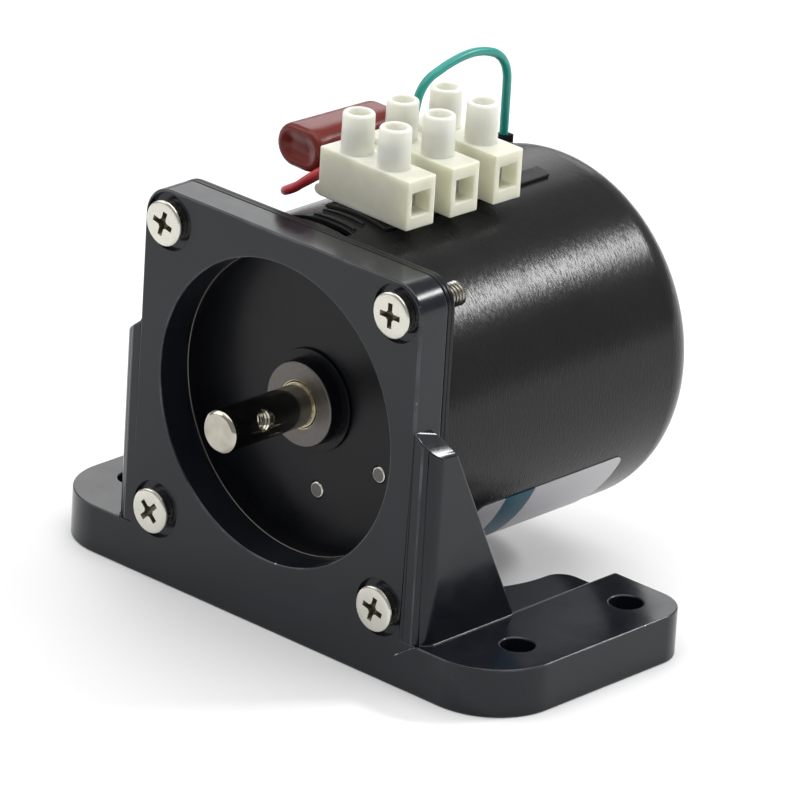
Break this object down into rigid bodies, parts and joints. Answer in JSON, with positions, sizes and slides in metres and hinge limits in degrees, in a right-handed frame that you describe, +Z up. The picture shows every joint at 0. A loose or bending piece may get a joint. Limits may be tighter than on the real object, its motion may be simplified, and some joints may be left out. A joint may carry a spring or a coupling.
{
  "type": "geared synchronous motor",
  "caption": "Geared synchronous motor in a black foot bracket, with a cross-drilled output shaft, terminal block, run capacitor and leads.",
  "frame": {"origin": "centre of the four foot holes, on the bracket's underside", "axes": "+Z up from the underside, -Y along the output shaft towards its tip, +X to the right seen from behind the shaft tip looking at the face plate"},
  "size_m": [0.101, 0.0811, 0.0832],
  "materials": {
    "bracket_paint": "semi-gloss slate-black paint on a casting",
    "nickel_steel": "nickel plated",
    "black_sheet": "satin black on sheet steel",
    "ground_steel": "ground bare steel",
    "bronze": "sintered bronze",
    "zinc_sheet": "zinc plated sheet",
    "bobbin_nylon": "moulded nylon",
    "copper_wire": "enamelled copper wire",
    "can_paint": "satin black paint with a fine orange peel",
    "label_foil": "silver label with one teal band, bare",
    "black_strip": "matt black strip",
    "natural_nylon": "natural nylon",
    "brass": "turned brass",
    "capacitor_epoxy": "dipped epoxy",
    "tinned_wire": "tinned copper",
    "red_insulation": "PVC insulation",
    "green_insulation": "PVC insulation",
    "grommet_rubber": "black rubber",
    "shaft_steel": "ground and plated steel",
    "gear_steel": "hobbed steel",
    "gear_nylon": "moulded gear plastic",
    "hub_plastic": "moulded plastic",
    "ferrite": "ground ferrite"
  },
  "bodies": {
    "motor_body": {"bracket": "bracket_paint", "bracket_screws": "nickel_steel", "front_flange": "black_sheet", "gear_plate": "black_sheet", "output_boss": "ground_steel", "output_bush": "bronze", "thrust_washer": "bronze", "axle_pins": "ground_steel", "plate_spacers": "ground_steel", "mid_plate": "zinc_sheet", "rotor_front_bush": "bronze", "rotor_rear_bush": "bronze", "stator_front": "zinc_sheet", "stator_rear": "zinc_sheet", "coil_bobbin": "bobbin_nylon", "coil_winding": "copper_wire", "motor_can": "can_paint", "blank_label": "label_foil", "terminal_base": "black_strip", "terminal_block": "natural_nylon", "terminal_clamps": "brass", "terminal_screws": "nickel_steel", "capacitor": "capacitor_epoxy", "capacitor_leads": "tinned_wire", "red_lead": "red_insulation", "green_lead": "green_insulation", "lead_grommet": "grommet_rubber", "earth_tab": "black_sheet"},
    "rotor": {"rotor_shaft": "shaft_steel", "rotor_pinion": "brass", "rotor_hub": "hub_plastic", "rotor_magnet": "ferrite"},
    "first_idler": {"first_idler_gear": "gear_nylon"},
    "second_idler": {"second_idler_gear": "gear_nylon"},
    "output": {"output_shaft": "shaft_steel", "output_gear": "gear_steel", "shaft_clip": "ground_steel"}
  },
  "joints": [
    {"name": "rotor_spin", "type": "hinge", "parent": "motor_body", "child": "rotor", "pos_m": [0, 0.02, 0.037], "axis": [0, -1, 0], "continuous": true},
    {"name": "first_idler_spin", "type": "hinge", "parent": "motor_body", "child": "first_idler", "pos_m": [0.00198, 0, 0.02213], "axis": [0, -1, 0], "continuous": true},
    {"name": "second_idler_spin", "type": "hinge", "parent": "motor_body", "child": "second_idler", "pos_m": [0.01502, 0, 0.02904], "axis": [0, -1, 0], "continuous": true},
    {"name": "output_spin", "type": "hinge", "parent": "motor_body", "child": "output", "pos_m": [0, -0.02, 0.037], "axis": [0, -1, 0], "continuous": true}
  ],
  "couplings": [
    {"joint": "first_idler_spin", "follows": "rotor_spin", "ratio": -0.57895},
    {"joint": "second_idler_spin", "follows": "rotor_spin", "ratio": 0.34424},
    {"joint": "output_spin", "follows": "rotor_spin", "ratio": -0.20014}
  ]
}
